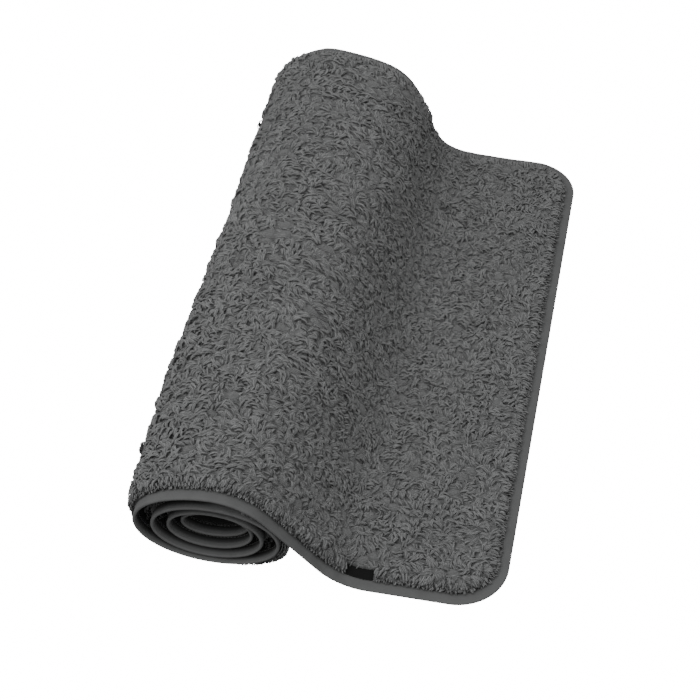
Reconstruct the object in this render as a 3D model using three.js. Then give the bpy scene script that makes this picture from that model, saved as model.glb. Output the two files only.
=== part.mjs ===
// A bath mat, half rolled up with its pile outside: the free end comes off the top of the roll,
// runs down a slope and lies flat on the floor. Millimetres, +Z up, the mat's width along Y,
// the flat end towards +X. The roll stands a little taller at its far end than at its near one.
import * as THREE from "three";

// The mat laid flat.
const MAT_LENGTH = 1220;
const MAT_WIDTH = 610;
const CORNER_RADIUS = 48;

// Layers through the mat, measured outwards from its underside.
const CLOTH = 0.8;
const GAP = 0.3;
const BACKING = [0, CLOTH];
const GROUND_CLOTH = [CLOTH + GAP, 2 * CLOTH + GAP];
const FACE = 2 * (CLOTH + GAP);
const PILE_TOP = 12;
const PILE_SHOULDER = 6;

// Places across the mat, measured inwards from its edge.
const TAPE_WIDTH = 11.6;
const GROUND_INSET = CLOTH + GAP;
const BACKING_INSET = 12.9;
const THREAD_SIZE = 0.6;
const THREAD = [TAPE_WIDTH + GAP, TAPE_WIDTH + GAP + THREAD_SIZE];
const LOWER_THREAD_LIFT = 0.1;
const PILE_INSET = 13.8;

// The flat end and the slope up to the top of the roll.
const FLAT_END = 120;
const SLOPE_ANGLE = THREE.MathUtils.degToRad(48);
const VALLEY_RADIUS = 60;
const CREST_RADIUS = 63.7;
const ROLL_TOP = 91.6;

// The roll's flattened spiral. Each size is at the roll's top, with its change per turn and per turn squared.
const ROLL_HALF_WIDTH = [72.7, -19.85, 1.94];
const ROLL_HALF_HEIGHT = [42.3, -10.08, 0.553];
const ROLL_DRIFT_ACROSS = [0, -2.57, 0.728];
const ROLL_DRIFT_UP = [0, -5.65, 0.79];
const TURNS = 4;
// The slope presses the roll in where it leaves it.
const PRESS = 0.07;
const PRESS_TURN = 0.87;
const PRESS_SPREAD = 0.12;
const TURN_STEP = 0.001;
const LAST_FOLD_RADIUS = 4.7;
const LAST_TOP_RUN = 14;
const LAST_FOLD_ANGLE = THREE.MathUtils.degToRad(188);

// Inner turns stand back from the near end, as a roll that has slid along its length.
const SLIDE_START = 0.12;
const SLIDE_RATE = 1.52;

// Towards its far end the roll stands taller with a steeper side, and the flat end is a little narrower.
// Each ease is from 0 to 1 between two places along X, measured from the free end.
const FAR_SHIFT = 1.2;
const FAR_WALL_SHIFT = 59;
const FAR_GROWTH = 0.26;
const FAR_WALL_GROWTH = 0.27;
const FAR_NARROWING = 11;
const WALL_SHIFT_EASE = [-280, -190];
const WALL_GROWTH_EASE = [-260, -190];
const FLAT_EASE = [-288, -140];
const NARROWING_EASE = [-230, -66];

// How finely the mat is divided.
const MAX_BEND = THREE.MathUtils.degToRad(13);
const MAX_STEP = 26;
const SLOPE_STEPS = 4;
const CORNER_STEPS = 5;
const TIP_STEPS = 2;
const TIP = 14;
const PILE_CLEARANCE = 0.8;
const PILE_TIP = 0.1;
const ROOM_PLACES = [0, 0.5, 1];

// The care label, sewn into the tape's inner seam and lying over the pile beside it.
const LABEL_START = 117;
const LABEL_LENGTH = 27;
const LABEL_WIDTH = 9;
const LABEL_THICKNESS = 0.5;
const LABEL_ROOT = [THREAD[1] + GAP, THREAD[1] + GAP + LABEL_THICKNESS];

const COLOURS = {
  pile: 0x63645f, ground: 0x4b4c4a, backing: 0x555654, tape: 0x5b5d5b, thread: 0x505250, label: 0x1c1c1c,
};

// --- The mat's path, seen from its side: points of the underside from the free end inwards. ---

// Walks along the path with a heading, so that straight runs and arcs join smoothly.
function makeWalker() {
  const walker = { x: 0, z: 0, heading: Math.PI, slide: 0, path: [] };
  walker.mark = () => {
    const { x, z, heading, slide } = walker;
    walker.path.push({ x, z, nx: Math.sin(heading), nz: -Math.cos(heading), slide });
  };
  walker.straight = (length) => {
    walker.x += length * Math.cos(walker.heading);
    walker.z += length * Math.sin(walker.heading);
    walker.mark();
  };
  walker.arc = (radius, turn) => {
    const steps = Math.ceil(Math.abs(turn) / MAX_BEND);
    const chord = 2 * radius * Math.sin(Math.abs(turn) / steps / 2);
    for (let i = 0; i < steps; i++) {
      walker.heading += turn / steps / 2;
      walker.x += chord * Math.cos(walker.heading);
      walker.z += chord * Math.sin(walker.heading);
      walker.heading += turn / steps / 2;
      walker.mark();
    }
  };
  return walker;
}

function spiralPoint(turn, centreX) {
  const angle = Math.PI / 2 + 2 * Math.PI * turn;
  const size = ([start, change, curve]) => start + change * turn + curve * turn ** 2;
  const pressed = 1 - PRESS * Math.exp(-(((turn - PRESS_TURN) / PRESS_SPREAD) ** 2));
  const middleZ = ROLL_TOP - ROLL_HALF_HEIGHT[0] + size(ROLL_DRIFT_UP);
  return {
    x: centreX + size(ROLL_DRIFT_ACROSS) + pressed * size(ROLL_HALF_WIDTH) * Math.cos(angle),
    z: middleZ + pressed * size(ROLL_HALF_HEIGHT) * Math.sin(angle),
  };
}

function spiralHeading(turn) {
  const before = spiralPoint(turn - 1e-4, 0);
  const after = spiralPoint(turn + 1e-4, 0);
  return Math.atan2(after.z - before.z, after.x - before.x);
}

const slideAt = (turn) => SLIDE_RATE * Math.max(0, turn - SLIDE_START) ** 2;
const sameWay = (angle) => Math.atan2(Math.sin(angle), Math.cos(angle));

function makePath() {
  const walker = makeWalker();
  walker.mark();
  for (let i = 0; i <= CORNER_STEPS; i++) {
    const reach = CORNER_RADIUS + (TIP - CORNER_RADIUS) * Math.cos((i / CORNER_STEPS) * Math.PI / 2);
    walker.straight(reach + walker.x);
  }
  walker.straight(FLAT_END + walker.x);

  const arcsRise = (VALLEY_RADIUS + CREST_RADIUS) * (1 - Math.cos(SLOPE_ANGLE));
  walker.arc(VALLEY_RADIUS, -SLOPE_ANGLE);
  const slope = (ROLL_TOP - arcsRise) / Math.sin(SLOPE_ANGLE);
  for (let i = 0; i < SLOPE_STEPS; i++) walker.straight(slope / SLOPE_STEPS);
  walker.arc(CREST_RADIUS, SLOPE_ANGLE);

  const centreX = walker.x;
  let last = 0;
  for (let turn = 0; turn < TURNS; turn += TURN_STEP) {
    const bend = Math.abs(sameWay(spiralHeading(turn) - spiralHeading(last)));
    const from = spiralPoint(last, centreX);
    const to = spiralPoint(turn, centreX);
    if (bend >= MAX_BEND || Math.hypot(to.x - from.x, to.z - from.z) >= MAX_STEP) {
      Object.assign(walker, to, { heading: spiralHeading(turn), slide: slideAt(turn) });
      walker.mark();
      last = turn;
    }
  }
  Object.assign(walker, spiralPoint(TURNS, centreX), { heading: Math.PI, slide: slideAt(TURNS) });
  walker.mark();
  walker.straight(LAST_TOP_RUN);
  walker.arc(LAST_FOLD_RADIUS, LAST_FOLD_ANGLE);

  measure(walker.path);
  const leg = MAT_LENGTH - walker.path.at(-1).s;
  let done = 0;
  for (let i = CORNER_STEPS; i >= 0; i--) {
    const reach = CORNER_RADIUS + (TIP - CORNER_RADIUS) * Math.cos((i / CORNER_STEPS) * Math.PI / 2);
    if (leg - reach > 1) {
      walker.straight(leg - reach - done);
      done = leg - reach;
    }
  }
  walker.straight(leg - done);
  return measure(walker.path);
}

// Writes each point's distance from the free end along the path.
function measure(path) {
  path.forEach((point, i) => {
    const before = path[Math.max(0, i - 1)];
    point.s = i === 0 ? 0 : before.s + Math.hypot(point.x - before.x, point.z - before.z);
  });
  return path;
}

const PATH = makePath();
const END = PATH.at(-1).s;

function stationAt(s) {
  const i = Math.max(1, PATH.findIndex((point) => point.s >= s - 1e-6));
  const [a, b] = [PATH[i - 1], PATH[i]];
  const part = (s - a.s) / (b.s - a.s);
  const mix = (key) => a[key] + (b[key] - a[key]) * part;
  const length = Math.hypot(mix("nx"), mix("nz"));
  return { x: mix("x"), z: mix("z"), nx: mix("nx") / length, nz: mix("nz") / length, slide: mix("slide"), s };
}

function ease(x, [from, to]) {
  return THREE.MathUtils.smoothstep(x, from, to);
}

// Where a point of the underside stands, for how far it is from the near end (0) to the far end (1).
function stand({ x, z }, far) {
  const flat = ease(x, FLAT_EASE);
  const shift = FAR_SHIFT * (1 - flat) + FAR_WALL_SHIFT * (ease(x, WALL_SHIFT_EASE) - flat);
  const growth = FAR_GROWTH * (1 - flat) + FAR_WALL_GROWTH * (ease(x, WALL_GROWTH_EASE) - flat);
  return { x: x + far * shift, z: z * (1 + far * growth) };
}

// The same with the outward direction there.
function standing(station, far) {
  const at = stand(station, far);
  const ahead = stand({ x: station.x - station.nz, z: station.z + station.nx }, far);
  const behind = stand({ x: station.x + station.nz, z: station.z - station.nx }, far);
  const [nx, nz] = [ahead.z - behind.z, behind.x - ahead.x];
  const length = Math.hypot(nx, nz);
  return { ...at, nx: nx / length, nz: nz / length };
}

// A point at y across the mat and n outwards from its underside.
function place(station, y, n) {
  const far = y / MAT_WIDTH + 0.5;
  const at = standing(station, far);
  const narrowing = far * FAR_NARROWING * ease(station.x, NARROWING_EASE);
  return new THREE.Vector3(at.x + at.nx * n, y + station.slide - narrowing, at.z + at.nz * n);
}

// --- The mat's outline, seen flat: a rectangle with rounded corners, inset by any distance. ---

function halfWidthAt(s, inset) {
  const toEnd = Math.min(s, END - s);
  const radius = CORNER_RADIUS - inset;
  if (toEnd >= CORNER_RADIUS) return MAT_WIDTH / 2 - inset;
  const across = Math.max(0, radius ** 2 - (CORNER_RADIUS - toEnd) ** 2);
  return MAT_WIDTH / 2 - CORNER_RADIUS + Math.sqrt(across);
}

// Distances from an end of the points near it, where each outline has its own points.
function tipReaches(inset) {
  const radius = CORNER_RADIUS - inset;
  const lastAngle = Math.acos((CORNER_RADIUS - TIP) / radius);
  const reachAt = (_, i) => CORNER_RADIUS - radius * Math.cos((lastAngle * i) / TIP_STEPS);
  return Array.from({ length: TIP_STEPS }, reachAt);
}

const inner = PATH.map((point) => point.s).filter((s) => s > TIP - 0.01 && s < END - TIP + 0.01);

// Distances along the mat at which a layer with this inset has its points.
function layerPlaces(inset) {
  const tip = tipReaches(inset);
  return [...tip, ...inner, ...tip.map((reach) => END - reach).reverse()];
}

// Once round the mat's outline: each entry gives the place at a chosen inset.
function roundOutline() {
  const side = (sign) => inner.map((s) => (inset) => ({ s, y: sign * halfWidthAt(s, inset) }));
  const corner = (sign, atEnd) => Array.from({ length: TIP_STEPS }, (_, i) => (inset) => {
    const reach = tipReaches(inset)[i];
    const s = atEnd ? END - reach : reach;
    return { s, y: sign * halfWidthAt(s, inset) };
  });
  return [
    ...corner(-1, false), ...side(-1), ...corner(-1, true).reverse(),
    ...corner(1, true), ...side(1).reverse(), ...corner(1, false).reverse(),
  ];
}

// --- Closed bodies from rings of points. A ring's two halves face each other across its section. ---
// Both halves are split along the same diagonals, so that layers lying on each other stay parallel.

function closedBody(rings, isLoop) {
  const size = rings[0].length;
  const positions = rings.flat().flatMap((point) => point.toArray());
  const faces = [];
  const last = isLoop ? rings.length : rings.length - 1;
  for (let i = 0; i < last; i++) {
    for (let j = 0; j < size; j++) {
      const [a, b] = [i * size + j, i * size + ((j + 1) % size)];
      const next = ((i + 1) % rings.length) * size;
      const [c, d] = [next + j, next + ((j + 1) % size)];
      if (j < size / 2) faces.push(a, b, c, b, d, c);
      else faces.push(a, b, d, a, d, c);
    }
  }
  if (!isLoop) {
    const end = (rings.length - 1) * size;
    for (let j = 0; j < size / 2 - 1; j++) {
      const [a, b, c, d] = [j, j + 1, size - 2 - j, size - 1 - j];
      faces.push(a, d, b, b, d, c, end + a, end + b, end + d, end + b, end + c, end + d);
    }
  }
  const at = (i) => new THREE.Vector3().fromArray(positions, 3 * faces[i]);
  let volume = 0;
  for (let i = 0; i < faces.length; i += 3) volume += at(i).dot(at(i + 1).cross(at(i + 2)));
  if (volume < 0) faces.reverse();
  const geometry = new THREE.BufferGeometry();
  geometry.setAttribute("position", new THREE.Float32BufferAttribute(positions, 3));
  geometry.setIndex(faces);
  geometry.computeVertexNormals();
  return geometry;
}

function layer(inset, sectionAt) {
  return closedBody(layerPlaces(inset).map((s) => {
    const station = stationAt(s);
    return sectionAt(station, halfWidthAt(s, inset)).map(([y, n]) => place(station, y, n));
  }), false);
}

function flatLayer([low, high], inset) {
  return layer(inset, (station, y) => [[-y, low], [y, low], [y, high], [-y, high]]);
}

function edgeRun(section) {
  return closedBody(roundOutline().map((at) => section.map(([inset, n]) => {
    const { s, y } = at(inset);
    return place(stationAt(s), y, n);
  })), true);
}

// --- The pieces. ---

// Room outwards from the cloth at a station, up to the floor or the underside of the next turn.
function roomAt(station, far) {
  const from = standing(station, far);
  const path = PATH.map((point) => stand(point, far));
  let room = from.nz < 0 ? from.z / -from.nz : Infinity;
  for (let i = 1; i < path.length; i++) {
    const [a, b] = [path[i - 1], path[i]];
    const [ex, ez] = [b.x - a.x, b.z - a.z];
    const cross = from.nx * ez - from.nz * ex;
    const along = ((a.x - from.x) * ez - (a.z - from.z) * ex) / cross;
    const part = ((a.x - from.x) * from.nz - (a.z - from.z) * from.nx) / cross;
    if (along > FACE && part >= 0 && part <= 1) room = Math.min(room, along - PILE_CLEARANCE);
  }
  return room;
}

// The pile is as tall as it grows, or as the roll leaves room for, with sloping sides.
function pileSection(station, y) {
  const full = Math.min(PILE_TOP, ...ROOM_PLACES.map((far) => roomAt(station, far)));
  const edge = FACE + (full - FACE) / 2;
  const toEnd = Math.min(station.s, END - station.s) - PILE_INSET;
  const top = edge + (full - edge) * Math.min(1, PILE_TIP + toEnd / PILE_SHOULDER);
  const topY = y - PILE_SHOULDER;
  return [[-y, FACE], [y, FACE], [y, edge], [topY, top], [-topY, top], [-y, edge]];
}

const tapeTop = FACE + CLOTH;
const tapeSection = [
  [0, 0], [TAPE_WIDTH, 0], [TAPE_WIDTH, CLOTH], [CLOTH, CLOTH],
  [CLOTH, FACE], [TAPE_WIDTH, FACE], [TAPE_WIDTH, tapeTop], [0, tapeTop],
];

function threadSection(low) {
  const high = low + THREAD_SIZE;
  return [[THREAD[0], low], [THREAD[1], low], [THREAD[1], high], [THREAD[0], high]];
}

// Rises out of the seam, then lies over the pile's sloping side and its edge.
function careLabel() {
  const [near, far] = LABEL_ROOT;
  const [bend, lie] = [FACE + (PILE_TOP - FACE) / 2, PILE_TOP + GAP];
  const over = PILE_INSET + PILE_SHOULDER;
  const section = [
    [far, FACE], [far, bend + GAP], [over, lie], [near + LABEL_WIDTH, lie],
    [near + LABEL_WIDTH, lie + LABEL_THICKNESS], [over - LABEL_THICKNESS / 2, lie + LABEL_THICKNESS],
    [near, bend + LABEL_THICKNESS], [near, FACE],
  ];
  const ends = [LABEL_START, LABEL_START + LABEL_LENGTH];
  const places = [ends[0], ...inner.filter((s) => s > ends[0] + 1 && s < ends[1] - 1), ends[1]];
  return closedBody(places.map((s) => section.map(([inset, n]) => {
    return place(stationAt(s), -halfWidthAt(s, inset), n);
  })), false);
}

const PIECES = {
  pile_layer: [layer(PILE_INSET, pileSection), COLOURS.pile],
  ground_cloth: [flatLayer(GROUND_CLOTH, GROUND_INSET), COLOURS.ground],
  backing: [flatLayer(BACKING, BACKING_INSET), COLOURS.backing],
  edge_tape: [edgeRun(tapeSection), COLOURS.tape],
  upper_seam_thread: [edgeRun(threadSection(FACE)), COLOURS.thread],
  lower_seam_thread: [edgeRun(threadSection(LOWER_THREAD_LIFT)), COLOURS.thread],
  care_label: [careLabel(), COLOURS.label],
};

const mat = new THREE.Group();
for (const [name, [geometry, colour]] of Object.entries(PIECES)) {
  const material = new THREE.MeshStandardMaterial({ color: colour, roughness: 0.95, metalness: 0 });
  const piece = new THREE.Mesh(geometry, material);
  piece.name = name;
  mat.add(piece);
}

// The origin is under the middle of the whole mat, on the floor.
const box = new THREE.Box3().setFromObject(mat);
const middle = box.getCenter(new THREE.Vector3());
mat.position.set(-middle.x, -middle.y, -box.min.z);

export default mat;
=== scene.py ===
"""A bath mat, half rolled up with its curly pile outside and its free end laid flat.

The mat is made flat, as places (s, y, n): s along it from the free end, y across it and n outwards
from its underside. lift() then lays those places on the rolled path that the frame's solids follow,
but the roll's outer turn isn't pressed in here where the slope leaves it.
Sizes here are in millimetres, and the meshes are in metres.
"""

import bpy
import numpy as np
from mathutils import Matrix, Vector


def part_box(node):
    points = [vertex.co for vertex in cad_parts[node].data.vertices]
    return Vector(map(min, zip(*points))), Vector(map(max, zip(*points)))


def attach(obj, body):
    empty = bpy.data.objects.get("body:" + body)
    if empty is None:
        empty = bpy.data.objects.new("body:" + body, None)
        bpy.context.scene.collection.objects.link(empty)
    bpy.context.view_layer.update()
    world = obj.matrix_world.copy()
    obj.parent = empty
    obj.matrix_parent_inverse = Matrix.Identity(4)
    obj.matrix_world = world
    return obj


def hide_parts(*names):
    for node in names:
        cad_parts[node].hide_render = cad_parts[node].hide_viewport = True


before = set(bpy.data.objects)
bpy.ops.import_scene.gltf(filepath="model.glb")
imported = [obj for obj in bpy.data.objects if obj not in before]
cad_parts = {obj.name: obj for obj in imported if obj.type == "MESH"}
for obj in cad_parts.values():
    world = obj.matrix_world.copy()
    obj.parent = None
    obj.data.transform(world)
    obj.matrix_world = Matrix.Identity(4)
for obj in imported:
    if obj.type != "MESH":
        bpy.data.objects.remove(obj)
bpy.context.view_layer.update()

MM = 0.001

# The mat laid flat, as in the frame's solids.
MAT_LENGTH = 1220
MAT_WIDTH = 610
CORNER_RADIUS = 48
CLOTH = 0.8
GAP = 0.3
FACE = 2 * (CLOTH + GAP)
PILE_TOP = 12.0
TAPE_WIDTH = 11.6
BACKING_INSET = 12.9
GROUND_INSET = CLOTH + GAP
PILE_INSET = 13.2
LABEL_START = 117
LABEL_LENGTH = 27
LABEL_WIDTH = 9
LABEL_THICKNESS = 0.3
LABEL_LIFT = 2.2

# The path of its underside: flat end, slope and spiral.
FLAT_END = 120
SLOPE_ANGLE = np.radians(48)
VALLEY_RADIUS = 60
CREST_RADIUS = 63.7
ROLL_TOP = 91.6
ROLL_HALF_WIDTH = (72.7, -19.85, 1.94)
ROLL_HALF_HEIGHT = (42.3, -10.08, 0.553)
ROLL_DRIFT_ACROSS = (0, -2.57, 0.728)
ROLL_DRIFT_UP = (0, -5.65, 0.79)
TURNS = 4
LAST_FOLD_RADIUS = 4.7
LAST_TOP_RUN = 14
LAST_FOLD_ANGLE = np.radians(188)
SLIDE_START = 0.12
SLIDE_RATE = 1.52
STEP = 0.5
SPIRAL_STEPS = 2400
FULLER = 4.5
FULLER_ACROSS = ((0, 0.14), (0.25, 0.7))
FULLER_ALONG = ((310, 350), (405, 440))

# Towards its far end the roll stands taller with a steeper side, and the flat end is narrower.
FAR_SHIFT = 1.2
FAR_WALL_SHIFT = 59
FAR_GROWTH = 0.26
FAR_WALL_GROWTH = 0.27
FAR_NARROWING = 11
WALL_SHIFT_EASE = (-280, -190)
WALL_GROWTH_EASE = (-260, -190)
FLAT_EASE = (-288, -140)
NARROWING_EASE = (-230, -66)

rng = np.random.default_rng(7)


# --- The path, as closely spaced points of the underside. ---


def straight(start, heading, length):
    along = np.arange(STEP, length, STEP)
    way = np.array([np.cos(heading), np.sin(heading)])
    points = start + np.append(along, length)[:, None] * way
    return points, np.full(len(points), heading)


def arc(start, heading, radius, turn):
    steps = int(np.ceil(radius * abs(turn) / STEP))
    headings = heading + turn * np.arange(1, steps + 1) / steps
    way = np.sign(turn)
    centre = start + radius * way * np.array([-np.sin(heading), np.cos(heading)])
    points = centre + radius * way * np.stack([np.sin(headings), -np.cos(headings)], axis=1)
    return points, headings


def spiral(centre_x):
    turn = np.linspace(0, TURNS, SPIRAL_STEPS)[1:]
    angle = np.pi / 2 + 2 * np.pi * turn
    wide, high, across, up = (
        start + change * turn + curve * turn**2
        for start, change, curve in (ROLL_HALF_WIDTH, ROLL_HALF_HEIGHT, ROLL_DRIFT_ACROSS, ROLL_DRIFT_UP)
    )
    x = centre_x + across + wide * np.cos(angle)
    z = ROLL_TOP - ROLL_HALF_HEIGHT[0] + up + high * np.sin(angle)
    points = np.stack([x, z], axis=1)
    headings = np.unwrap(np.arctan2(np.gradient(z), np.gradient(x)))
    return points, headings, SLIDE_RATE * np.maximum(0, turn - SLIDE_START) ** 2


def mat_path():
    """The path's columns: distance, x, z, the outward normal's x and z, and the slide along Y."""
    rise = (VALLEY_RADIUS + CREST_RADIUS) * (1 - np.cos(SLOPE_ANGLE))
    runs = [(np.zeros((1, 2)), np.full(1, np.pi))]
    runs.append(straight(runs[-1][0][-1], np.pi, FLAT_END))
    runs.append(arc(runs[-1][0][-1], np.pi, VALLEY_RADIUS, -SLOPE_ANGLE))
    slope = (ROLL_TOP - rise) / np.sin(SLOPE_ANGLE)
    runs.append(straight(runs[-1][0][-1], runs[-1][1][-1], slope))
    runs.append(arc(runs[-1][0][-1], runs[-1][1][-1], CREST_RADIUS, SLOPE_ANGLE))
    before = sum(len(run[0]) for run in runs)
    turns, headings, slide = spiral(runs[-1][0][-1][0])
    runs.append((turns, headings))
    runs.append(straight(turns[-1], np.pi, LAST_TOP_RUN))
    runs.append(arc(runs[-1][0][-1], np.pi, LAST_FOLD_RADIUS, LAST_FOLD_ANGLE))
    points = np.concatenate([run[0] for run in runs])
    done = np.hypot(*np.diff(points, axis=0).T).sum()
    runs.append(straight(points[-1], np.pi + LAST_FOLD_ANGLE, MAT_LENGTH - done))
    points = np.concatenate([run[0] for run in runs])
    headings = np.concatenate([run[1] for run in runs])
    slides = np.full(len(points), slide[-1])
    slides[:before] = 0
    slides[before : before + len(slide)] = slide
    distance = np.append(0, np.cumsum(np.hypot(*np.diff(points, axis=0).T)))
    return distance, points[:, 0], points[:, 1], np.sin(headings), -np.cos(headings), slides


PATH = mat_path()
END = PATH[0][-1]
FREE_EDGE_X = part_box("edge_tape")[1][0] / MM
NEAR_EDGE_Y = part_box("edge_tape")[0][1] / MM


def ease(x, ends):
    part = np.clip((x - ends[0]) / (ends[1] - ends[0]), 0, 1)
    return part * part * (3 - 2 * part)


def stand(x, z, far):
    """Where the underside stands, for how far it is from the near end (0) to the far end (1)."""
    flat = ease(x, FLAT_EASE)
    shift = FAR_SHIFT * (1 - flat) + FAR_WALL_SHIFT * (ease(x, WALL_SHIFT_EASE) - flat)
    growth = FAR_GROWTH * (1 - flat) + FAR_WALL_GROWTH * (ease(x, WALL_GROWTH_EASE) - flat)
    return x + far * shift, z * (1 + far * growth)


def standing(s, far):
    """The underside's x and z and the outward direction, at places along the mat."""
    x, z, nx, nz = (np.interp(s, PATH[0], column) for column in PATH[1:5])
    ahead = stand(x - nz, z + nx, far)
    behind = stand(x + nz, z - nx, far)
    nx, nz = ahead[1] - behind[1], behind[0] - ahead[0]
    size = np.hypot(nx, nz)
    return *stand(x, z, far), nx / size, nz / size


def lift(s, y, n):
    """Places on the mat as points in the frame, in millimetres."""
    s, y, n = np.broadcast_arrays(s, y, n)
    far = y / MAT_WIDTH + 0.5
    x, z, nx, nz = standing(s, far)
    slide = np.interp(s, PATH[0], PATH[5])
    narrowing = far * FAR_NARROWING * ease(np.interp(s, PATH[0], PATH[1]), NARROWING_EASE)
    along_y = y + slide - narrowing + NEAR_EDGE_Y + MAT_WIDTH / 2
    return np.stack([x + n * nx + FREE_EDGE_X, along_y, z + n * nz], axis=-1)


def half_width(s, inset):
    to_end = np.minimum(s, END - s)
    across = np.maximum(0, (CORNER_RADIUS - inset) ** 2 - np.maximum(0, CORNER_RADIUS - to_end) ** 2)
    return MAT_WIDTH / 2 - CORNER_RADIUS + np.sqrt(across)


def inset_of(s, y):
    """How far places are from the mat's edge."""
    to_end = np.minimum(s, END - s)
    to_side = MAT_WIDTH / 2 - np.abs(y)
    corner = CORNER_RADIUS - np.hypot(
        np.maximum(0, CORNER_RADIUS - to_end), np.maximum(0, CORNER_RADIUS - to_side)
    )
    in_corner = (to_end < CORNER_RADIUS) & (to_side < CORNER_RADIUS)
    return np.where(in_corner, corner, np.minimum(to_end, to_side))


def room_along_path(far):
    """Room outwards from the underside, up to the floor or to the next turn."""
    at = np.arange(0, END, 2.0)
    x, z, nx, nz = standing(at, far)
    ex, ez = np.diff(x), np.diff(z)
    cross = nx[:, None] * ez - nz[:, None] * ex
    dx, dz = x[:-1] - x[:, None], z[:-1] - z[:, None]
    with np.errstate(divide="ignore", invalid="ignore"):
        along = (dx * ez - dz * ex) / cross
        part = (dx * nz[:, None] - dz * nx[:, None]) / cross
        floor = np.where(nz < 0, z / -nz, np.inf)
    hit = (along > FACE) & (part >= -0.01) & (part <= 1.01)
    room = np.where(hit, along - 0.5, np.inf).min(axis=1)
    return at, np.minimum(np.minimum(room, floor), PILE_TOP)


ROOM = [room_along_path(far) for far in (0, 1)]


def pile_height(s, y):
    """How tall the pile stands, fuller on the roll's outer side near its near end."""
    at = y / MAT_WIDTH + 0.5
    near, far = (np.interp(s, *room) for room in ROOM)
    across = ease(at, FULLER_ACROSS[0]) * (1 - ease(at, FULLER_ACROSS[1]))
    start, stop = FULLER_ALONG
    return near + (far - near) * at + FULLER * across * ease(s, start) * (1 - ease(s, stop))


# --- Smooth noise over the mat, the same each run. ---


def noise(s, y, size, seed):
    """From -1 to 1, smooth, with lumps about this size."""
    table = np.random.default_rng(seed).uniform(-1, 1, (64, 64))
    u, v = np.asarray(s) / size, np.asarray(y) / size + 1000.3
    i, j = np.floor(u).astype(int), np.floor(v).astype(int)
    fu, fv = u - i, v - j
    fu, fv = fu * fu * (3 - 2 * fu), fv * fv * (3 - 2 * fv)
    a, b = table[i % 64, j % 64], table[(i + 1) % 64, j % 64]
    c, d = table[i % 64, (j + 1) % 64], table[(i + 1) % 64, (j + 1) % 64]
    return (a * (1 - fu) + b * fu) * (1 - fv) + (c * (1 - fu) + d * fu) * fv


CLUMP = 10.5


def clumps(s, y):
    """The pile's tufts: the number of the one each place is in, and from 0 amid it to 1 on its border."""
    jitter = np.random.default_rng(31).uniform(-0.45, 0.45, (64, 64, 2))
    i, j = np.floor(s / CLUMP).astype(int), np.floor(y / CLUMP).astype(int)
    nearest, second = np.full(s.shape, np.inf), np.full(s.shape, np.inf)
    number = np.zeros(s.shape, int)
    for di in (-1, 0, 1):
        for dj in (-1, 0, 1):
            a, b = i + di, j + dj
            centre = (np.stack([a, b], axis=-1) + 0.5 + jitter[a % 64, b % 64]) * CLUMP
            away = np.hypot(s - centre[..., 0], y - centre[..., 1])
            closer = away < nearest
            second = np.where(closer, nearest, np.minimum(second, away))
            number = np.where(closer, (a % 64) * 64 + b % 64, number)
            nearest = np.where(closer, away, nearest)
    return number, np.clip(1 - (second - nearest) / (0.5 * CLUMP), 0, 1)


# --- Materials. ---

# Pile colours along its tone attribute: near black, dark and light. The near black is the painted deep
# shade of the inner turns.
PILE_DEEP, PILE_DARK, PILE_LIGHT = 0.01, 0.07, 0.22
PILE_DARK_AT = 0.12
FIBRE_SCALE = 210
FIBRE_BUMP = 0.0008
STREAKS = (0.66, 1.2)
FLECKS = (0.8, 1.18)
FLECK_SCALE = 700
CLOUD_SCALE = 60
WAVES_PER_THREAD = 3.2
THREAD_SHARE = 0.45


def new_material(name):
    material = bpy.data.materials.new(name)
    material.use_nodes = True
    nodes = material.node_tree.nodes
    return material, nodes, material.node_tree.links, nodes["Principled BSDF"]


def grey(level, tint=(0.985, 1.0, 1.0)):
    return (*(level * t for t in tint), 1)


def neutral(level):
    return (level, level, level, 1)


def ramp_node(nodes, low, high, start=0.3, stop=0.7):
    ramp = nodes.new("ShaderNodeValToRGB")
    ramp.color_ramp.elements[0].position = start
    ramp.color_ramp.elements[1].position = stop
    ramp.color_ramp.elements[0].color = low
    ramp.color_ramp.elements[1].color = high
    return ramp


def mixed(nodes, links, kind, first, second, factor=1.0):
    mix = nodes.new("ShaderNodeMix")
    mix.data_type = "RGBA"
    mix.blend_type = kind
    mix.inputs["Factor"].default_value = factor
    links.new(first, mix.inputs["A"])
    links.new(second, mix.inputs["B"])
    return mix.outputs["Result"]


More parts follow.
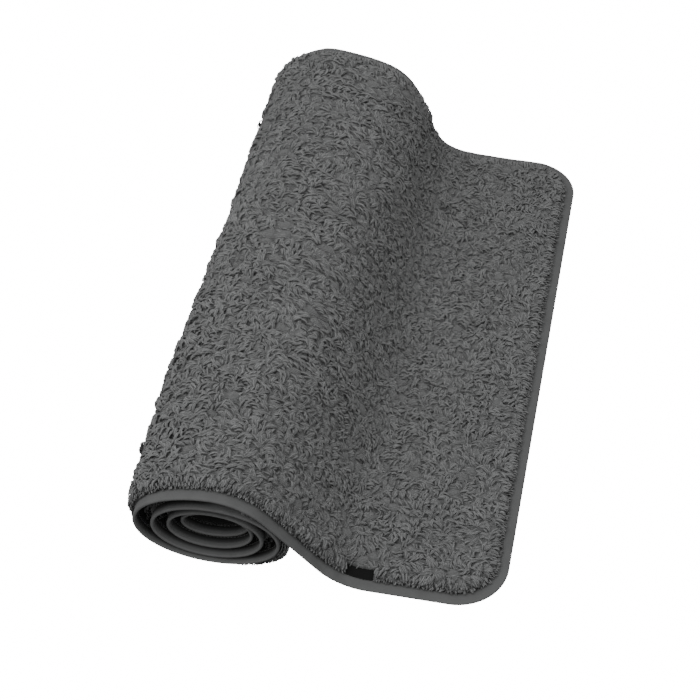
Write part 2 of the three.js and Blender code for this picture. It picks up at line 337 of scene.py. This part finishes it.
def pile_material():
    material, nodes, links, shader = new_material("curly_pile")
    # The tone attribute carries painted light and shade as well as random tone.
    tone = nodes.new("ShaderNodeAttribute")
    tone.attribute_name = "tone"
    tones = ramp_node(nodes, grey(PILE_DEEP), grey(PILE_LIGHT), 0.0, 1.0)
    tones.color_ramp.elements.new(PILE_DARK_AT).color = grey(PILE_DARK)
    links.new(tone.outputs["Fac"], tones.inputs["Fac"])
    flat = nodes.new("ShaderNodeUVMap")
    flat.uv_map = "flat"
    fibres = nodes.new("ShaderNodeTexWave")
    fibres.bands_direction = "Y"
    fibres.inputs["Scale"].default_value = FIBRE_SCALE
    fibres.inputs["Distortion"].default_value = 2.5
    fibres.inputs["Detail"].default_value = 2
    fibres.inputs["Detail Scale"].default_value = 1.4
    links.new(flat.outputs["UV"], fibres.inputs["Vector"])
    streaks = ramp_node(nodes, neutral(STREAKS[0]), neutral(STREAKS[1]), 0.1, 0.75)
    links.new(fibres.outputs["Fac"], streaks.inputs["Fac"])
    place = nodes.new("ShaderNodeTexCoord")
    fleck = nodes.new("ShaderNodeTexNoise")
    fleck.inputs["Scale"].default_value = FLECK_SCALE
    fleck.inputs["Detail"].default_value = 3
    links.new(place.outputs["Object"], fleck.inputs["Vector"])
    flecks = ramp_node(nodes, neutral(FLECKS[0]), neutral(FLECKS[1]), 0.3, 0.7)
    links.new(fleck.outputs["Fac"], flecks.inputs["Fac"])
    streaked = mixed(nodes, links, "MULTIPLY", tones.outputs["Color"], streaks.outputs["Color"])
    colour = mixed(nodes, links, "MULTIPLY", streaked, flecks.outputs["Color"])
    shader.inputs["Base Color"].default_value = grey((PILE_DARK + PILE_LIGHT) / 2)
    links.new(colour, shader.inputs["Base Color"])
    bump = nodes.new("ShaderNodeBump")
    bump.inputs["Strength"].default_value = 0.7
    bump.inputs["Distance"].default_value = FIBRE_BUMP
    links.new(fibres.outputs["Fac"], bump.inputs["Height"])
    links.new(bump.outputs["Normal"], shader.inputs["Normal"])
    shader.inputs["Roughness"].default_value = 0.95
    shader.inputs["Sheen Weight"].default_value = 0.2
    shader.inputs["Sheen Roughness"].default_value = 0.6
    shader.inputs["Specular IOR Level"].default_value = 0.15
    return material


def woven_material(name, low, high, thread, depth, toned=False):
    """Cloth with crossing threads of this spacing, in metres, and a slight unevenness."""
    material, nodes, links, shader = new_material(name)
    flat = nodes.new("ShaderNodeUVMap")
    flat.uv_map = "flat"
    waves = []
    for direction in ("X", "Y"):
        wave = nodes.new("ShaderNodeTexWave")
        wave.bands_direction = direction
        wave.inputs["Scale"].default_value = 1 / (thread * WAVES_PER_THREAD)
        wave.inputs["Distortion"].default_value = 0.6
        wave.inputs["Detail"].default_value = 1
        links.new(flat.outputs["UV"], wave.inputs["Vector"])
        waves.append(wave)
    weave = nodes.new("ShaderNodeMath")
    weave.operation = "MAXIMUM"
    for i, wave in enumerate(waves):
        links.new(wave.outputs["Fac"], weave.inputs[i])
    cloud = nodes.new("ShaderNodeTexNoise")
    cloud.inputs["Scale"].default_value = CLOUD_SCALE
    cloud.inputs["Detail"].default_value = 6
    place = nodes.new("ShaderNodeTexCoord")
    links.new(place.outputs["Object"], cloud.inputs["Vector"])
    blend = nodes.new("ShaderNodeMath")
    blend.operation = "MULTIPLY_ADD"
    links.new(weave.outputs["Value"], blend.inputs[0])
    blend.inputs[1].default_value = THREAD_SHARE
    links.new(cloud.outputs["Fac"], blend.inputs[2])
    colour = ramp_node(nodes, low, high, 0.4, 1.0)
    links.new(blend.outputs["Value"], colour.inputs["Fac"])
    shown = colour.outputs["Color"]
    # toned multiplies the colour by the tone attribute, which on the tape is painted shade inside the
    # roll.
    if toned:
        tone = nodes.new("ShaderNodeAttribute")
        tone.attribute_name = "tone"
        shown = mixed(nodes, links, "MULTIPLY", shown, tone.outputs["Fac"])
    shader.inputs["Base Color"].default_value = low
    links.new(shown, shader.inputs["Base Color"])
    bump = nodes.new("ShaderNodeBump")
    bump.inputs["Strength"].default_value = 0.5
    bump.inputs["Distance"].default_value = depth
    links.new(weave.outputs["Value"], bump.inputs["Height"])
    links.new(bump.outputs["Normal"], shader.inputs["Normal"])
    shader.inputs["Roughness"].default_value = 0.9
    shader.inputs["Sheen Weight"].default_value = 0.05
    shader.inputs["Specular IOR Level"].default_value = 0.15
    return material


pile_cloth = pile_material()
tape_cloth = woven_material("tape_twill", grey(0.1), grey(0.128), 0.0006, 0.00008, toned=True)
# The backing is near black: a dark coating, made darker still as painted shade for the deep gaps inside
# the roll.
backing_cloth = woven_material("coated_backing", grey(0.008), grey(0.014), 0.0009, 0.0001)
ground_weave = woven_material("ground_weave", grey(0.07), grey(0.1), 0.0012, 0.00015)
seam_yarn = woven_material("seam_yarn", grey(0.09), grey(0.125), 0.0003, 0.00005)
label_satin = woven_material("label_satin", grey(0.006), grey(0.01), 0.0004, 0.00005)


# --- Meshes. ---


def make_mesh(name, points, faces, material, flat=None, tone=None):
    """A piece from points in millimetres. flat gives each point's place on the flat mat."""
    mesh = bpy.data.meshes.new(name)
    mesh.from_pydata(points.reshape(-1, 3) * MM, [], faces)
    mesh.materials.append(material)
    mesh.shade_smooth()
    if flat is not None:
        corners = np.zeros(len(mesh.loops), int)
        mesh.loops.foreach_get("vertex_index", corners)
        layer = mesh.uv_layers.new(name="flat")
        layer.uv.foreach_set("vector", (flat.reshape(-1, 2)[corners] * MM).ravel())
    if tone is not None:
        mesh.attributes.new("tone", "FLOAT", "POINT").data.foreach_set("value", tone.ravel())
    piece = bpy.data.objects.new(name, mesh)
    bpy.context.scene.collection.objects.link(piece)
    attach(piece, "root")
    return piece


def grid_faces(rows, columns, wrap_rows=False, wrap_columns=False):
    i = np.arange(rows if wrap_rows else rows - 1)[:, None]
    j = np.arange(columns if wrap_columns else columns - 1)[None, :]
    i2, j2 = (i + 1) % rows, (j + 1) % columns
    quads = np.stack([i * columns + j, i * columns + j2, i2 * columns + j2, i2 * columns + j], axis=-1)
    return quads.reshape(-1, 4)


def closed_faces(rows, columns):
    """The faces of a thin closed cloth whose rows hold its upper places, then its lower ones back."""
    faces = grid_faces(rows, 2 * columns, wrap_columns=True).tolist()
    for row, flip in ((0, 1), (rows - 1, -1)):
        start = row * 2 * columns
        for j in range(columns - 1):
            face = [start + j, start + 2 * columns - 1 - j, start + 2 * columns - 2 - j, start + j + 1]
            faces.append(face[::flip])
    return faces


INNER_TURNS_FROM = 800
CORNER_STEPS = 14
ACROSS_STEPS = 90


def strand_faces(count, stations, ring):
    """The faces of strands that are each a tube of rings, open at both ends."""
    quads = grid_faces(stations, ring, wrap_columns=True)
    return (quads[None] + (stations * ring * np.arange(count))[:, None, None]).reshape(-1, 4)


def places_along(inset, step, fold_step):
    """Distances along the mat, closer together near its ends and in the tight inner turns."""
    angles = np.linspace(0, np.pi / 2, CORNER_STEPS)
    tip = CORNER_RADIUS - (CORNER_RADIUS - inset) * np.cos(angles)
    outer = np.arange(CORNER_RADIUS + step, INNER_TURNS_FROM, step)
    inner = np.arange(INNER_TURNS_FROM, END - CORNER_RADIUS, fold_step)
    return np.concatenate([tip, outer, inner, (END - tip)[::-1]])


def cloth_layer(name, low, high, inset, material):
    """A thin closed cloth between two distances from the underside."""
    s = places_along(inset, 4, 2)
    across = np.linspace(-1, 1, ACROSS_STEPS)
    y = half_width(s, inset)[:, None] * across
    s = np.broadcast_to(s[:, None], y.shape)
    rows, columns = y.shape
    ring = [(s, y, high), (s[:, ::-1], y[:, ::-1], low)]
    points = np.concatenate([lift(*side) for side in ring], axis=1)
    flat = np.concatenate([np.stack(side[:2], axis=-1) for side in ring], axis=1)
    faces = closed_faces(rows, columns)
    return make_mesh(name, points, faces, material, flat)


def outline(step):
    """Once round the mat: s and y of the corners' centres and the sides between, and the way outwards."""
    side = np.arange(CORNER_RADIUS, END - CORNER_RADIUS, step)
    end = np.arange(-MAT_WIDTH / 2 + CORNER_RADIUS, MAT_WIDTH / 2 - CORNER_RADIUS, step)
    turn = np.linspace(0, np.pi / 2, 28)[:-1]
    near, far = CORNER_RADIUS, END - CORNER_RADIUS
    edge = MAT_WIDTH / 2 - CORNER_RADIUS
    runs = [
        (side, np.full(len(side), -edge), np.full(len(side), -np.pi / 2)),
        (np.full(len(turn), far), np.full(len(turn), -edge), turn - np.pi / 2),
        (np.full(len(end), far), end, np.zeros(len(end))),
        (np.full(len(turn), far), np.full(len(turn), edge), turn),
        (side[::-1], np.full(len(side), edge), np.full(len(side), np.pi / 2)),
        (np.full(len(turn), near), np.full(len(turn), edge), turn + np.pi / 2),
        (np.full(len(end), near), end[::-1], np.full(len(end), np.pi)),
        (np.full(len(turn), near), np.full(len(turn), -edge), turn + np.pi),
    ]
    return [np.concatenate(column) for column in zip(*runs, strict=True)]


TAPE_TOP = FACE + CLOTH
TAPE_STEP = 2.5
# Painted shade on the tape inside the roll: how much darker, and from where along the mat and in from its
# edge.
TAPE_SHADE = 0.9
SHADE_ABOVE = (600, 625)
SHADE_BELOW = (300, 330)
SHADE_INSET = (2.5, 8)


def tape_section():
    """The tape's closed section: distances in from the mat's edge, and heights above its underside."""
    half = TAPE_TOP / 2
    fold = np.linspace(-np.pi / 2, np.pi / 2, 7)
    outer = [(half - half * np.cos(a), half + half * np.sin(a)) for a in fold]
    lower = [(TAPE_WIDTH, 0.05), (9, 0.0), (6, 0.0), (3.5, 0.0)]
    upper = [(3.5, TAPE_TOP), (6, TAPE_TOP + 0.1), (9, TAPE_TOP + 0.1), (TAPE_WIDTH - 0.5, TAPE_TOP)]
    hem = [(TAPE_WIDTH, TAPE_TOP - 0.4), (TAPE_WIDTH, FACE)]
    inside = [(9, FACE), (3, FACE - 0.05), (CLOTH + 0.1, FACE - 0.5)]
    under = [(CLOTH + 0.1, CLOTH + 0.5), (3, CLOTH), (9, CLOTH), (TAPE_WIDTH, CLOTH)]
    return np.array(lower + outer + upper + hem + inside + under).T


def edge_tape():
    """The tape folded round the edge, with a soft fold, a rounded hem, slight puckers and painted shade
    inside the roll.
    """
    s, y, way = outline(TAPE_STEP)
    run = np.arange(len(s))[:, None]
    inset, n = tape_section()[:, None]
    reach = CORNER_RADIUS - inset
    place_s = s[:, None] + reach * np.cos(way)[:, None]
    place_y = y[:, None] + reach * np.sin(way)[:, None]
    over = np.clip((n - FACE) / CLOTH, 0, 1)
    ripple = 0.22 * noise(place_s, place_y, 7, 3) + 0.15 * noise(place_s, place_y, 3.1, 4)
    n = n + over * ripple
    points = lift(place_s, place_y, n)
    flat = np.stack([run * TAPE_STEP + 0 * inset, inset + n], axis=-1)
    # Painted shade: inside the roll the tape darkens away from its fold, standing for the deep shade
    # there.
    within = np.where(n > FACE / 2, ease(place_s, SHADE_ABOVE), ease(place_s, SHADE_BELOW))
    tone = 1 - TAPE_SHADE * within * ease(inset, SHADE_INSET)
    faces = grid_faces(*n.shape, wrap_rows=True, wrap_columns=True)
    return make_mesh("edge_tape_cloth", points, faces, tape_cloth, flat, tone)


def tubes(name, lines, radii, ups, material, sides):
    """Thin strands: lines (k, m, 3), radii (k, m) and each strand's up direction (k, 3)."""
    count, steps, _ = lines.shape
    tangent = np.gradient(lines, axis=1)
    tangent /= np.linalg.norm(tangent, axis=2, keepdims=True) + 1e-9
    side = np.cross(tangent, ups[:, None, :])
    side /= np.linalg.norm(side, axis=2, keepdims=True) + 1e-9
    up = np.cross(side, tangent)
    angle = 2 * np.pi * np.arange(sides) / sides + np.pi / 2
    ring = side[:, :, None] * np.cos(angle)[:, None] + up[:, :, None] * np.sin(angle)[:, None]
    points = lines[:, :, None] + radii[:, :, None, None] * ring
    return make_mesh(name, points, strand_faces(count, steps, sides), material)


# --- The pile: overlapping locks of fibre over a lumpy ground. ---

TUFT = 3.5
LOCK_WIDTHS = np.array([0.5, 0.95, 1.0, 0.85, 0.3])
LOCK_RISE = np.array([0.2, 0.8, 1.0, 0.92, 0.6])
EDGE_PILE = 9.6
OVERHANG_END = 6.9
OVERHANG_SIDE = 8.6
ROUND = np.radians([0, 45, 90, 135, 180, 270])
LEAN_FROM = 24
LABEL_ROOM = 1
FOLD = (455, 588)
FOLD_EASE = (455, 540)
FOLD_OVERHANG = 2.5
FOLD_TIERS = {"pile_fold": (1.0, 1.9), "pile_fold_middle": (0.75, 2.4), "pile_fold_low": (0.5, 2.4)}


def by_label(s, y):
    """Whether places are where the label lies on the pile."""
    along = (s > LABEL_START - LABEL_ROOM) & (s < LABEL_START + LABEL_LENGTH + LABEL_ROOM)
    return along & (y < -MAT_WIDTH / 2 + TAPE_WIDTH + LABEL_WIDTH)


def tuft_centres(start, stop, spacing, insets=(EDGE_PILE, MAT_WIDTH)):
    """Scattered places between two distances along the mat and two from its edge."""
    rows = np.arange(start, stop, spacing * 0.87)
    across = np.arange(-MAT_WIDTH / 2, MAT_WIDTH / 2, spacing)
    s, y = np.meshgrid(rows, across, indexing="ij")
    y = y + spacing / 2 * (np.arange(len(rows)) % 2)[:, None]
    s = (s + rng.uniform(-0.4, 0.4, s.shape) * spacing).ravel()
    y = (y + rng.uniform(-0.4, 0.4, y.shape) * spacing).ravel()
    inset = inset_of(s, y)
    keep = (inset > insets[0]) & (inset < insets[1]) & ~by_label(s, y)
    return s[keep], y[keep]


def leaning(s, y, way):
    """Turns locks near the edge outwards, over the tape."""
    inset = inset_of(s, y)
    out_s = inset - inset_of(s + 1, y)
    out_y = inset - inset_of(s, y + 1)
    share = 0.8 * np.clip((LEAN_FROM - inset) / 7, 0, 1)
    across = (1 - share) * np.sin(way) + share * out_y
    return np.arctan2(across, (1 - share) * np.cos(way) + share * out_s)


CLUMP_CHANCE = np.random.default_rng(32).normal(0, 1, (3, 64 * 64))
LOCK_LENGTH = (6.5, 11.0)
LOCK_HALF_WIDTH = (1.1, 1.9)
HEIGHT_CHANCE, WAY_CHANCE, BEND_CHANCE, ROLL_CHANCE, TONE_CHANCE = 0.02, 0.3, 1.2, 0.14, 0.06
CREASE_DEPTH = 0.30
# Painted shade in the creases between tufts.
CREASE_PAINTED_SHADE = 0.36
TIP_ROOM = 0.6
LEAST_HEIGHT = 1.0
EDGE_LOW_UNTIL = (380, 430)
FLOOR_ROOM = 0.2
LOOP_UV = (40, 17)


def lock_heights(s, y, room, level, border):
    """How high each lock reaches: less in the creases between tufts and by the mat's edge."""
    height = room * (1 + 0.04 * noise(s, y, 15, 11) + 0.06 * level - CREASE_DEPTH * border**3) - TIP_ROOM
    height = height + room * rng.normal(0, HEIGHT_CHANCE, len(s))
    lowest = 0.5 + 0.45 * ease(s, EDGE_LOW_UNTIL)
    height = FACE + (height - FACE) * np.clip((inset_of(s, y) - PILE_INSET + 8) / 11, lowest, 1)
    return np.maximum(height, FACE + LEAST_HEIGHT)


def lock_ways(s, y, turn):
    """Which way each lock lies: swirling over the mat, and outwards by its edge."""
    swirl = 1.9 * np.pi * noise(s, y, 46, 12) + 0.6 * np.pi * noise(s, y, 15, 13)
    return leaning(s, y, swirl + 0.7 * turn + rng.normal(0, WAY_CHANCE, len(s)))


def lock_shapes(height):
    """Each lock's points before it is turned: along it, beside and over its middle, across and high."""
    count = len(height)
    fit = np.clip((height - FACE) / (PILE_TOP - FACE), 0.5, 1)
    length = fit * rng.uniform(*LOCK_LENGTH, count)
    half = fit * rng.uniform(*LOCK_HALF_WIDTH, count)
    steps = np.linspace(0, 1, len(LOCK_RISE))
    along = length[:, None] * (steps - 0.5)
    bend = rng.normal(0, BEND_CHANCE, count)[:, None] * (steps - 0.4) ** 2 * 2
    roll = rng.normal(0, ROLL_CHANCE, count)[:, None, None]
    width = half[:, None] * LOCK_WIDTHS
    low = FACE + (height - FACE) * 0.5
    crest = low[:, None] + (height - low)[:, None] * LOCK_RISE - 0.35 * width
    side = width[:, :, None] * np.cos(ROUND)
    up = 0.5 * width[:, :, None] * np.sin(ROUND)
    return along[:, :, None], side, up, side + bend[:, :, None], crest[:, :, None] + up + side * roll


def lock_tones(border, bright, painted_shade):
    """How light each lock is: painted light makes it lightest on its upper side and towards its tip,
    painted shade darker at its root and in the creases between tufts.
    """
    # Painted light and shade: lighter towards each lock's top and tip, darker at its root and underside.
    upper = 0.30 + 0.30 * LOCK_RISE[None, :, None] + 0.22 * np.sin(ROUND)
    # The crease term is painted shade; the clump and random terms are random tone.
    chance = 0.06 * bright - CREASE_PAINTED_SHADE * border**3 + rng.normal(0, TONE_CHANCE, len(border))
    # The last term darkens the lock further: painted shade, as in the inner turns and the fold.
    return np.clip(upper + chance[:, None, None] - painted_shade, 0, 1)


def pile_locks(name, s, y, rise=1.0, overhang=OVERHANG_SIDE, painted_shade=0.0, clumped=1.0, fading=False):
    """One curved lock of fibre at each place. Fading locks grow taller into the fold."""
    number, border = clumps(s, y)
    border = border * clumped
    level, turn, bright = CLUMP_CHANCE[:, number] * clumped
    room = pile_height(s, y) * rise
    if fading:
        room = FACE + (room - FACE) * (0.25 + 0.75 * ease(s, FOLD_EASE))
    height = lock_heights(s, y, room, level, border)
    way = lock_ways(s, y, turn)
    cos, sin = np.cos(way)[:, None, None], np.sin(way)[:, None, None]
    along, side, up, across, n = lock_shapes(height)
    place_s = s[:, None, None] + along * cos - across * sin
    place_y = y[:, None, None] + along * sin + across * cos
    place_s = np.clip(place_s, OVERHANG_END, END - overhang)
    edge = MAT_WIDTH / 2 - overhang
    place_y = np.clip(place_y, -edge, edge)
    points = lift(place_s, place_y, np.maximum(n, FACE + CLOTH + GAP))
    points[..., 2] = np.maximum(points[..., 2], FLOOR_ROOM)
    own_place = np.stack([LOOP_UV[0] * s, LOOP_UV[1] * y], axis=-1)[:, None, None]
    flat = own_place + np.stack([along + 0 * side, side + 0.6 * up], axis=-1)
    faces = strand_faces(len(s), len(LOCK_RISE), len(ROUND))
    return make_mesh(name, points, faces, pile_cloth, flat, lock_tones(border, bright, painted_shade))


GROUND_STEP = 2.2
GROUND_FOLD_STEP = 3


def pile_ground():
    """The dense lower pile that shows dark between the locks, with painted shade in the creases between
    tufts.
    """
    s = places_along(PILE_INSET, GROUND_STEP, GROUND_FOLD_STEP)
    across = np.linspace(-1, 1, int(MAT_WIDTH / GROUND_STEP))
    y = half_width(s, PILE_INSET)[:, None] * across
    s = np.broadcast_to(s[:, None], y.shape)
    full = pile_height(s, y)
    edge = np.clip((inset_of(s, y) - PILE_INSET) / 5, 0, 1)
    border = clumps(s, y)[1]
    lumps = 0.80 - 0.30 * border**3 + 0.05 * noise(s, y, 4.5, 21)
    lumps = np.where(by_label(s, y), 0.12, lumps)
    n = FACE + (full - FACE) * lumps * (0.25 + 0.75 * np.sqrt(edge))
    points = lift(s, y, n)
    under = lift(s[:, ::-1], y[:, ::-1], FACE)
    both = np.concatenate([points, under], axis=1)
    rows, columns = y.shape
    faces = closed_faces(rows, columns)
    flat = np.concatenate([np.stack([s, y], -1), np.stack([s[:, ::-1], y[:, ::-1]], -1)], axis=1)
    # Painted shade: darker where the tufts meet.
    tone = np.concatenate([0.5 - 0.4 * border**3, np.full(y.shape, 0.3)], axis=1)
    return make_mesh("pile_ground", both, faces, pile_cloth, flat, tone)


STITCH = 3.2
STITCH_GAP = 0.7
STITCH_INSET = 10.6
SEAM_STEP = 0.5
YARN_RADIUS = 0.32


def stitches(name, height, arch):
    """A lockstitch seam along the tape's hem: short bent strands, end to end."""
    s, y, way = outline(SEAM_STEP)
    reach = CORNER_RADIUS - STITCH_INSET
    s, y = s + reach * np.cos(way), y + reach * np.sin(way)
    run = np.append(0, np.cumsum(np.hypot(np.diff(s), np.diff(y))))
    starts = np.arange(0, run[-1] - STITCH, STITCH)
    part = np.linspace(0, 1, 6)
    at = starts[:, None] + STITCH_GAP / 2 + part * (STITCH - STITCH_GAP)
    rise = height + arch * np.sin(np.pi * part)
    place_s, place_y = np.interp(at, run, s), np.interp(at, run, y)
    lines = lift(place_s, place_y, rise)
    ups = (lift(place_s, place_y, rise + 1) - lines)[:, 3]
    radii = np.broadcast_to(YARN_RADIUS * np.sqrt(np.sin(np.pi * (0.08 + 0.84 * part))), at.shape)
    return tubes(name, lines, radii, ups, seam_yarn, sides=6)


def label():
    """A small woven label, sewn down at the tape and lying up against the pile."""
    rows, columns = 28, 10
    s = LABEL_START + LABEL_LENGTH * np.linspace(0, 1, rows)[:, None]
    part = np.linspace(0, 1, columns)[None, :]
    y = -MAT_WIDTH / 2 + TAPE_WIDTH - 1 + (LABEL_WIDTH + 1) * part + 0 * s
    s = s + 0 * part
    n = FACE + CLOTH + 0.4 + LABEL_LIFT * part**1.5 + 0.5 * noise(s, y, 8, 41) * part
    sides = [(s, y, n + LABEL_THICKNESS), (s[:, ::-1], y[:, ::-1], n[:, ::-1])]
    points = np.concatenate([lift(*side) for side in sides], axis=1)
    flat = np.concatenate([np.stack(side[:2], axis=-1) for side in sides], axis=1)
    return make_mesh("blank_label", points, closed_faces(rows, columns), label_satin, flat)


backing = cloth_layer("backing_cloth", 0, CLOTH, BACKING_INSET, backing_cloth)
ground = cloth_layer("ground_weave_cloth", CLOTH + GAP, 2 * CLOTH + GAP, GROUND_INSET, ground_weave)
tape = edge_tape()
upper_stitches = stitches("upper_stitches", FACE + CLOTH, 0.25)
lower_stitches = stitches("lower_stitches", 0.12, -0.02)
blank_label = label()
lower_pile = pile_ground()

ZONES = {
    "flat_end": (0, 72),
    "flat_middle": (72, 140),
    "valley": (140, 210),
    "slope": (210, 275),
    "crest": (275, 345),
    "roll_top": (345, 415),
    "roll_side": (415, 490),
    "roll_under": (490, 600),
}
pile = [pile_locks(f"pile_{zone}", *tuft_centres(*span, TUFT)) for zone, span in ZONES.items()]
inner = tuft_centres(600, END, TUFT, (7, 40))
# These locks are darkened nearly to black: painted shade for the deep shade between the inner turns.
pile.append(pile_locks("pile_inner_turns", *inner, overhang=5, painted_shade=0.62))
pile.append(pile_locks("pile_border", *tuft_centres(0, 505, 2.5, (EDGE_PILE, 17)), rise=0.95))
for name, (rise, spacing) in FOLD_TIERS.items():
    fold = tuft_centres(*FOLD, spacing, (FOLD_OVERHANG, 22))
    # A slight painted shade darkens the fold's locks.
    pile.append(pile_locks(name, *fold, rise, FOLD_OVERHANG, painted_shade=0.05, clumped=0.15, fading=True))

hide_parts("backing")
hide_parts("ground_cloth")
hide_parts("edge_tape")
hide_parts("upper_seam_thread")
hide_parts("lower_seam_thread")
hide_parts("care_label")
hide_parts("pile_layer")


# --- Floor, light and camera. ---


FLOOR_GLOW = 16
FLOOR_SIZE = 60
FLOOR_TONE = 0.3
WORLD_STRENGTH = 0.6
LAMP_POWER = 36
LAMP_SIZE = 2.5
LAMP_PLACE = (-0.7, -0.9, 2.3)
LAMP_TURN = (np.radians(21), np.radians(-17), 0)
CAMERA_AZIMUTH = np.radians(11.18)
CAMERA_ELEVATION = np.radians(46.5)
CAMERA_LENS = 95.85
CAMERA_PLACE = (0.0545, -0.9567, 1.3337)


def make_stage():
    bpy.ops.mesh.primitive_plane_add(size=FLOOR_SIZE, location=(0, 0, 0))
    floor = bpy.context.object
    floor.name = "floor"
    material, nodes, links, shader = new_material("pale_floor")
    shader.inputs["Base Color"].default_value = neutral(FLOOR_TONE)
    shader.inputs["Roughness"].default_value = 1
    shader.inputs["Specular IOR Level"].default_value = 0
    shader.inputs["Emission Color"].default_value = (1, 1, 1, 1)
    seen = nodes.new("ShaderNodeLightPath")
    glow = nodes.new("ShaderNodeMath")
    glow.operation = "MULTIPLY"
    glow.inputs[1].default_value = FLOOR_GLOW
    links.new(seen.outputs["Is Camera Ray"], glow.inputs[0])
    links.new(glow.outputs["Value"], shader.inputs["Emission Strength"])
    floor.data.materials.append(material)
    world = bpy.data.worlds.new("studio")
    bpy.context.scene.world = world
    world.use_nodes = True
    world.node_tree.nodes["Background"].inputs["Color"].default_value = (1, 1, 1, 1)
    world.node_tree.nodes["Background"].inputs["Strength"].default_value = WORLD_STRENGTH
    lamp = bpy.data.lights.new("soft_key", "AREA")
    lamp.energy = LAMP_POWER
    lamp.size = LAMP_SIZE
    key = bpy.data.objects.new("soft_key", lamp)
    key.location = LAMP_PLACE
    bpy.context.scene.collection.objects.link(key)
    key.rotation_euler = LAMP_TURN


def make_camera():
    camera = bpy.data.objects.new("camera", bpy.data.cameras.new("camera"))
    camera.data.sensor_width = 36
    camera.data.lens = CAMERA_LENS
    x, y, z = CAMERA_PLACE
    camera.location = (x + FREE_EDGE_X * MM, y + NEAR_EDGE_Y * MM, z)
    camera.rotation_euler = (np.pi / 2 - CAMERA_ELEVATION, 0, CAMERA_AZIMUTH)
    bpy.context.scene.collection.objects.link(camera)
    bpy.context.scene.camera = camera


make_stage()
make_camera()
